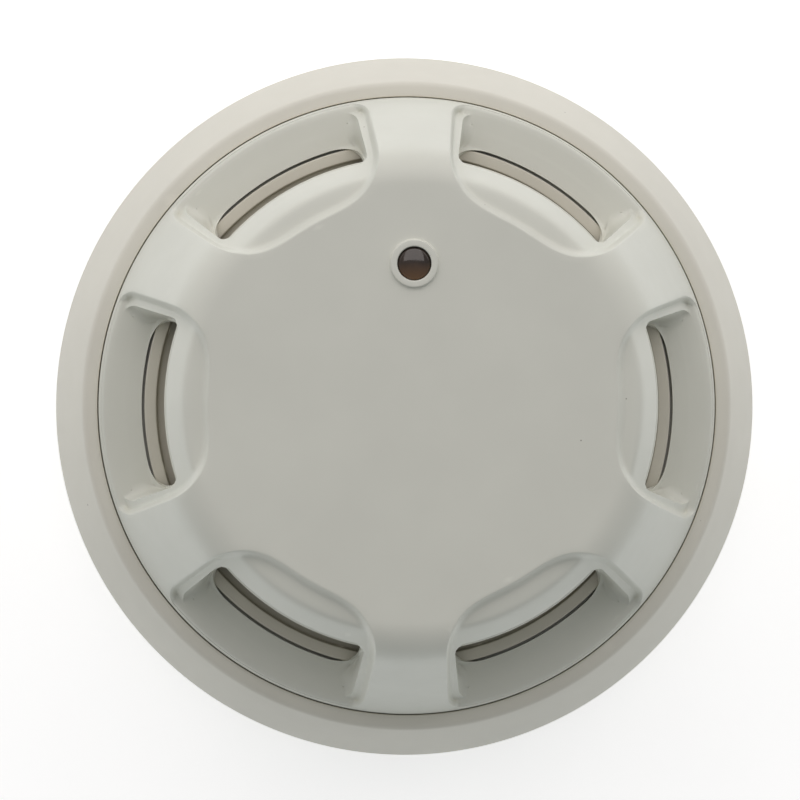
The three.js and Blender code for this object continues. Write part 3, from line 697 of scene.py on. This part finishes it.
def inner_cover():
    build = Build()
    outline = rounded(
        [
            (COVER_UNDER_R, COVER_TOP - COVER_WALL),
            (29.6, COVER_TOP - COVER_WALL, 0.8),
            (33, 21, 1.5),
            (COVER_INNER_R, COVER_SHOULDER_Z, 0.5),
            (COVER_INNER_R, COVER_LOW, 0.1),
            (FLANGE_R, COVER_LOW, 0.15),
            (FLANGE_R, RIM_TOP, 0.3),
            (37.3, RIM_TOP, 0.25),
            (37.2, CHANNEL_Z, 0.3),
            (36, CHANNEL_Z, 0.3),
            (COVER_R, COVER_SHOULDER_Z, 0.5),
            (34.0, 22.4, 2.4),
            (30, COVER_TOP, 2.0),
            (COVER_FLAT_R, COVER_TOP),
        ],
        0.3,
        6,
    )
    vertices, faces = turned_grid(outline, sides=360)
    build.add(notched(vertices), faces)
    holes = [circle(COLLAR_HOLE_R, sides=48), circle(GUIDE_HOLE_R, (0, LAMP_Y), 48)]
    for outer_r, z in ((COVER_FLAT_R, COVER_TOP), (COVER_UNDER_R, COVER_TOP - COVER_WALL)):
        sheet(build, [lifted(circle(outer_r, sides=360), z)] + [lifted(hole, z) for hole in holes])
    for hole in holes:
        loft(build, [lifted(hole, COVER_TOP - COVER_WALL), lifted(hole, COVER_TOP)])
    cover = add_mesh("chamber_cover", build.vertices, build.faces, 35.0)
    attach(cover, "head")
    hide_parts("inner_cover")
    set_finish(cover, "cover_beige")
    return cover


# ---- indicator lens ----

LENS_R, DOME_Z, DOME_RISE = 2.3, 42.95, 0.5
STEM_R, STEM_LOW, STEM_TOP = 1.5, 19.2, 38.0
LENS_FLANGE_R, LENS_FLANGE_LOW, LENS_FLANGE_TOP = 3.0, 39.0, 40.9


def indicator_lens():
    """A light pipe that widens under the face and ends in a low dome."""
    turns = np.linspace(math.pi / 2, 0, 14)
    dome = [(LENS_R * math.sin(a), DOME_Z + DOME_RISE * math.cos(a)) for a in turns]
    stem = [(0, STEM_LOW), (STEM_R, STEM_LOW, 0.2), (STEM_R, STEM_TOP, 0.8)]
    flange = [
        (LENS_FLANGE_R, LENS_FLANGE_LOW, 0.3),
        (LENS_FLANGE_R, LENS_FLANGE_TOP, 0.2),
        (LENS_R, LENS_FLANGE_TOP),
    ]
    outline = rounded([*stem, *flange, dome[0]], 0.2)
    vertices, faces = turned_grid(outline + dome[1:], (0.0, LAMP_Y), 64)
    lens = add_mesh("indicator_lens", vertices, faces, 50.0)
    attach(lens, "head")
    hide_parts("light_guide")
    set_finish(lens, "smoked_lens")
    return lens


# ---- sensing thermistor ----

BEAD_R, BEAD_HALF_HEIGHT, BEAD_Z = 1.4, 1.82, 31.0
WIRE_R, WIRE_X, WIRE_LOW = 0.3, 1.1, 13.9


def thermistor():
    """A dipped bead on two wires; the coating runs a little way down each wire."""
    build = Build()
    bead = [(0, BEAD_Z - BEAD_HALF_HEIGHT)]
    bead += [
        (BEAD_R * math.sin(a) * (1 + 0.06 * math.cos(3 * a)), BEAD_Z + BEAD_HALF_HEIGHT * math.cos(a))
        for a in np.linspace(math.pi, 0, 17)[1:-1]
    ]
    bead += [(0, BEAD_Z + BEAD_HALF_HEIGHT)]
    build.add(*turned_grid(bead, sides=32))
    wire = rounded(
        [(0, WIRE_LOW), (WIRE_R, WIRE_LOW, 0.05), (WIRE_R, BEAD_Z, 0.1), (0, BEAD_Z + 0.2)], 0.1, 3
    )
    for x in (-WIRE_X, WIRE_X):
        build.add(*turned_grid(wire, (x, 0.0), 16))
    bead = add_mesh("thermistor_bead", build.vertices, build.faces, 45.0)
    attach(bead, "head")
    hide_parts("sensing_thermistor")
    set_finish(bead, "bead_epoxy")
    return bead


# ---- materials ----


class Surface:
    """A Principled material and short ways to add and link its nodes."""

    def __init__(self, name, roughness, metallic=0.0):
        self.material = bpy.data.materials.new(f"{name}_look")
        self.material.use_nodes = True
        self.tree = self.material.node_tree
        self.shader = self.tree.nodes["Principled BSDF"]
        self.shader.inputs["Roughness"].default_value = roughness
        self.shader.inputs["Metallic"].default_value = metallic
        self.place = self.node("ShaderNodeTexCoord").outputs["Object"]

    def node(self, kind, inputs=(), **settings):
        made = self.tree.nodes.new(kind)
        for name, value in settings.items():
            setattr(made, name, value)
        for socket, value in dict(inputs).items():
            if isinstance(value, bpy.types.NodeSocket):
                self.tree.links.new(value, made.inputs[socket])
            else:
                made.inputs[socket].default_value = value
        return made

    def noise(self, size_mm, detail=3.0, stretch=None):
        """Noise whose features have about the given size."""
        place = self.place
        if stretch:
            scaled = self.node("ShaderNodeVectorMath", {0: place, 1: stretch}, operation="MULTIPLY")
            place = scaled.outputs[0]
        settings = {"Vector": place, "Scale": 1 / (size_mm * MM), "Detail": detail}
        return self.node("ShaderNodeTexNoise", settings).outputs["Fac"]

    def between(self, factor, low, high, start=0.3, end=0.7):
        """A number that goes from low to high as the factor goes from start to end."""
        inputs = {"Value": factor, "From Min": start, "From Max": end, "To Min": low, "To Max": high}
        return self.node("ShaderNodeMapRange", inputs).outputs["Result"]

    def shade(self, factor, colour, other, start=0.3, end=0.7):
        """A colour that goes from one to another as the factor goes from start to end."""
        share = self.between(factor, 0.0, 1.0, start, end)
        mix = self.node("ShaderNodeMix", {"Factor": share}, data_type="RGBA")
        for socket, value in ((6, colour), (7, other)):
            if isinstance(value, bpy.types.NodeSocket):
                self.tree.links.new(value, mix.inputs[socket])
            else:
                mix.inputs[socket].default_value = (*value, 1.0)
        return mix.outputs[2]

    def bump(self, height, depth_mm, onto=None):
        inputs = {"Height": height, "Strength": 1.0, "Distance": depth_mm * MM}
        if onto:
            inputs["Normal"] = onto
        return self.node("ShaderNodeBump", inputs).outputs["Normal"]

    def link(self, output, socket):
        self.tree.links.new(output, self.shader.inputs[socket])

    def near_corners(self, reach_mm):
        """Near 0 in narrow corners and 1 on open faces."""
        return self.node("ShaderNodeAmbientOcclusion", {"Distance": reach_mm * MM}, samples=8).outputs["AO"]


def tinted(colour, factor):
    return tuple(min(1.0, c * factor) for c in colour)


def moulded_plastic(name, colour, roughness, grain=(0.22, 0.004), specks=False, corner=(1.6, 1.0)):
    """Satin moulded plastic: fine grain, faint flow marks, worn edges, dust specks, and painted shade in
    the corners.

    The grain is a size and a depth in mm, the corner the reach in mm and the brightness of that painted
    shade.
    """
    surface = Surface(name, roughness)
    # Painted shade: a warmer, darker tone in narrow corners, standing in for the shade and warm bounce
    # light there.
    corner_shade_colour = tinted((colour[0] * 0.97, colour[1] * 0.945, colour[2] * 0.88), corner[1])
    shade = surface.shade(surface.noise(14.0), tinted(colour, 0.975), tinted(colour, 1.02))
    shade = surface.shade(surface.near_corners(corner[0]), corner_shade_colour, shade, 0.15, 0.75)
    edge = surface.node("ShaderNodeNewGeometry").outputs["Pointiness"]
    shade = surface.shade(edge, shade, tinted(colour, 1.06), 0.54, 0.66)
    if specks:
        cells = {"Vector": surface.place, "Scale": 1 / (3.4 * MM), "Randomness": 1.0}
        dust = surface.node("ShaderNodeTexVoronoi", cells)
        near = surface.between(dust.outputs["Distance"], 1.0, 0.0, 0.028, 0.045)
        chance = surface.node("ShaderNodeSeparateColor", {0: dust.outputs["Color"]}).outputs[0]
        picked = surface.between(chance, 0.0, 0.75, 0.90, 0.91)
        speck = surface.node("ShaderNodeMath", {0: near, 1: picked}, operation="MULTIPLY").outputs[0]
        shade = surface.shade(speck, shade, (0.16, 0.13, 0.10), 0.0, 1.0)
    surface.link(shade, "Base Color")
    surface.link(surface.between(surface.noise(2.5), roughness - 0.04, roughness + 0.05), "Roughness")
    flow = surface.bump(surface.noise(9.0, 2.0), 0.02)
    surface.link(surface.bump(surface.noise(grain[0], 2.0), grain[1], flow), "Normal")
    surface.shader.inputs["Specular IOR Level"].default_value = 0.42
    return surface.material


def smoked_lens():
    """Dark brown clear plastic with a polished dome; a painted glow makes it lighter brown towards its low
    side.
    """
    surface = Surface("smoked_lens", 0.08)
    depth = surface.shade(surface.noise(1.3, 2.0), (0.030, 0.019, 0.014), (0.050, 0.032, 0.024))
    # Painted glow: the lens turns lighter brown towards low Y, standing in for light showing through it
    # there.
    across = surface.node("ShaderNodeSeparateXYZ", {0: surface.place}).outputs["Y"]
    low_y, high_y = (LAMP_Y - LENS_R) * MM, (LAMP_Y + 0.2) * MM
    surface.link(surface.shade(across, (0.15, 0.075, 0.03), depth, low_y, high_y), "Base Color")
    surface.link(surface.between(surface.noise(0.6), 0.05, 0.16), "Roughness")
    surface.link(surface.bump(surface.noise(0.5, 2.0), 0.004), "Normal")
    surface.shader.inputs["Coat Weight"].default_value = 0.6
    surface.shader.inputs["Coat Roughness"].default_value = 0.04
    return surface.material


def bare_metal(name, colour, dull, roughness, marks):
    """Metal with faint tarnish, drawing marks stretched along one axis, and small dents."""
    surface = Surface(name, roughness, 1.0)
    shade = surface.shade(surface.noise(3.5, 4.0), dull, colour)
    surface.link(surface.shade(surface.near_corners(0.8), tinted(dull, 0.6), shade, 0.1, 0.8), "Base Color")
    surface.link(surface.between(surface.noise(1.1, 4.0), roughness - 0.08, roughness + 0.14), "Roughness")
    drawn = surface.bump(surface.noise(0.12, 3.0, marks), 0.003)
    surface.link(surface.bump(surface.noise(1.8, 2.0), 0.01, drawn), "Normal")
    return surface.material


def circuit_laminate():
    """Green solder mask over a web of tracks, with bare pads."""
    surface = Surface("circuit_laminate", roughness=0.3)
    web = {"Vector": surface.place, "Scale": 1 / (2.6 * MM), "Randomness": 0.55}
    squares = surface.node("ShaderNodeTexVoronoi", web, feature="F2", distance="CHEBYCHEV")
    tracks = squares.outputs["Distance"]
    mask = surface.shade(tracks, (0.012, 0.085, 0.035), (0.03, 0.19, 0.075), 0.48, 0.52)
    dots = surface.node("ShaderNodeTexVoronoi", web, feature="F1").outputs["Distance"]
    surface.link(surface.shade(dots, (0.55, 0.53, 0.48), mask, 0.14, 0.17), "Base Color")
    surface.link(surface.between(surface.noise(3.0), 0.24, 0.36), "Roughness")
    surface.link(surface.bump(surface.between(tracks, 0.0, 1.0, 0.48, 0.52), 0.03), "Normal")
    return surface.material


def red_lens():
    """Diffused red epoxy."""
    surface = Surface("red_lens", roughness=0.15)
    tint = surface.shade(surface.noise(1.2), (0.36, 0.012, 0.008), (0.52, 0.03, 0.015))
    surface.link(tint, "Base Color")
    surface.link(surface.between(surface.noise(0.7), 0.1, 0.22), "Roughness")
    surface.link(surface.bump(surface.noise(0.3, 2.0), 0.003), "Normal")
    surface.shader.inputs["Transmission Weight"].default_value = 0.35
    return surface.material


PLASTICS = {
    "cap_white": {"colour": (0.745, 0.747, 0.677), "roughness": 0.46, "specks": True},
    "base_ivory": {"colour": (0.77, 0.745, 0.665), "roughness": 0.46, "specks": True},
    # The cover's wide, deep corner darkening is painted shade, for the shadow in the slot next to the lip.
    "cover_beige": {"colour": (0.66, 0.63, 0.545), "roughness": 0.5, "corner": (4.0, 0.5)},
    "housing_grey": {"colour": (0.56, 0.56, 0.53), "roughness": 0.5},
    "bead_epoxy": {"colour": (0.012, 0.013, 0.018), "roughness": 0.25, "grain": (0.5, 0.01)},
    "grommet_rubber": {"colour": (0.045, 0.045, 0.047), "roughness": 0.68, "grain": (0.3, 0.012)},
    "capacitor_sleeve": {"colour": (0.02, 0.05, 0.24), "roughness": 0.22, "grain": (0.9, 0.006)},
    "component_black": {"colour": (0.014, 0.014, 0.016), "roughness": 0.55, "grain": (0.12, 0.01)},
    "label_film": {"colour": (0.68, 0.68, 0.65), "roughness": 0.4, "grain": (1.6, 0.006)},
}
# Bright and dull colour, roughness, and how much finer the drawing marks are along each axis.
METALS = {
    "terminal_brass": ((0.80, 0.61, 0.30), (0.58, 0.41, 0.18), 0.28, (1.0, 8.0, 1.0)),
    "spring_bronze": ((0.78, 0.50, 0.30), (0.55, 0.33, 0.18), 0.24, (8.0, 1.0, 1.0)),
    "rivet_brass": ((0.82, 0.64, 0.33), (0.62, 0.46, 0.20), 0.32, (1.0, 1.0, 1.0)),
    "plated_steel": ((0.70, 0.71, 0.74), (0.52, 0.54, 0.57), 0.3, (1.0, 1.0, 6.0)),
}
MATERIALS = {
    "smoked_lens": smoked_lens(),
    "red_lens": red_lens(),
    "circuit_laminate": circuit_laminate(),
}
MATERIALS |= {slot: moulded_plastic(slot, **look) for slot, look in PLASTICS.items()}
MATERIALS |= {slot: bare_metal(slot, *look) for slot, look in METALS.items()}

# ---- assembly ----


def dress_cad_nodes():
    """The frame's own parts get this script's materials, and have their split corners joined."""
    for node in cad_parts.values():
        node.data.materials[0] = MATERIALS[node.data.materials[0].name]
        weld = node.modifiers.new("weld", "WELD")
        weld.merge_threshold = 0.002 * MM


dress_cad_nodes()
for piece in (front_cap(), base_ring(), inner_cover(), indicator_lens(), thermistor()):
    piece.data.materials.append(MATERIALS[piece["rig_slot"]])

# ---- camera ----

CAMERA_HEIGHT = 600.0
CAMERA_LEFT, CAMERA_BELOW = 0.0275, 0.0092  # tangents of the two small angles off the axis
CAMERA_ROLL = 0.4  # degrees
FRAME_CENTRE = (-0.76, 0.94)  # point of the ceiling plane at the middle of the frame, mm
LENS, SENSOR = 177.3, 36.0


def photo_camera():
    data = bpy.data.cameras.new("camera")
    data.lens, data.sensor_width = LENS, SENSOR
    data.clip_start, data.clip_end = 0.05, 10.0
    camera = bpy.data.objects.new("camera", data)
    bpy.context.scene.collection.objects.link(camera)
    target = Vector((*FRAME_CENTRE, 0)) * MM
    camera.location = Vector((-CAMERA_LEFT, -CAMERA_BELOW, 1)) * CAMERA_HEIGHT * MM
    back = (camera.location - target).normalized()
    roll = math.radians(CAMERA_ROLL)
    up = Vector((-math.sin(roll), math.cos(roll), 0))
    right = up.cross(back).normalized()
    up = back.cross(right)
    camera.rotation_mode = "QUATERNION"
    camera.rotation_quaternion = Matrix((right, up, back)).transposed().to_quaternion()
    bpy.context.scene.camera = camera


# ---- light and floor ----

KEY_COLOUR = (1.0, 0.95, 0.935)
SKY_COLOUR = (0.965, 1.0, 1.0)
BOX_SIZE, BOX_DISTANCE = 0.7, 0.9  # metres


def soft_box(name, azimuth, elevation, power):
    """A square light that faces the object; azimuth 0 is +X and 90 is +Y."""
    data = bpy.data.lights.new(name, "AREA")
    data.size, data.energy, data.color = BOX_SIZE, power, KEY_COLOUR
    box = bpy.data.objects.new(name, data)
    bpy.context.scene.collection.objects.link(box)
    a, e = math.radians(azimuth), math.radians(elevation)
    towards = Vector((math.cos(a) * math.cos(e), math.sin(a) * math.cos(e), math.sin(e)))
    box.location = towards * BOX_DISTANCE
    box.rotation_euler = box.location.to_track_quat("Z", "Y").to_euler()


def studio_world(above, below):
    """Even light from above the horizon, and from below it the light that the floor throws back."""
    world = bpy.data.worlds.new("studio")
    world.use_nodes = True
    nodes, links = world.node_tree.nodes, world.node_tree.links
    direction = nodes.new("ShaderNodeTexCoord").outputs["Generated"]
    parts = nodes.new("ShaderNodeSeparateXYZ")
    level = nodes.new("ShaderNodeMapRange")
    for socket, value in (("From Min", -0.1), ("From Max", 0.1), ("To Min", below), ("To Max", above)):
        level.inputs[socket].default_value = value
    links.new(direction, parts.inputs[0])
    links.new(parts.outputs["Z"], level.inputs["Value"])
    background = nodes["Background"]
    background.inputs["Color"].default_value = (*SKY_COLOUR, 1)
    links.new(level.outputs["Result"], background.inputs["Strength"])
    bpy.context.scene.world = world


def pale_floor(glow):
    build = Build()
    slab(build, circle(600, sides=96), -12, 0, 3)
    floor = add_mesh("floor", build.vertices, build.faces)
    floor.location.z = -0.0001
    surface = Surface("floor", 0.7)
    surface.link(surface.shade(surface.noise(60.0), (0.88, 0.88, 0.88), (0.92, 0.92, 0.92)), "Base Color")
    surface.shader.inputs["Emission Color"].default_value = (1, 1, 1, 1)
    surface.shader.inputs["Emission Strength"].default_value = glow
    floor.data.materials.append(surface.material)
    floor.visible_diffuse = False
    floor.visible_shadow = False


photo_camera()
studio_world(above=0.27, below=0.84)
soft_box("key_middle", azimuth=90, elevation=25, power=0.75)
soft_box("key_left", azimuth=135, elevation=25, power=1.4)
soft_box("key_right", azimuth=45, elevation=25, power=1.4)
soft_box("key_high", azimuth=90, elevation=60, power=1.9)
soft_box("fill_left", azimuth=180, elevation=25, power=0.3)
pale_floor(glow=0.5)
bpy.context.scene.view_settings.view_transform = "Standard"
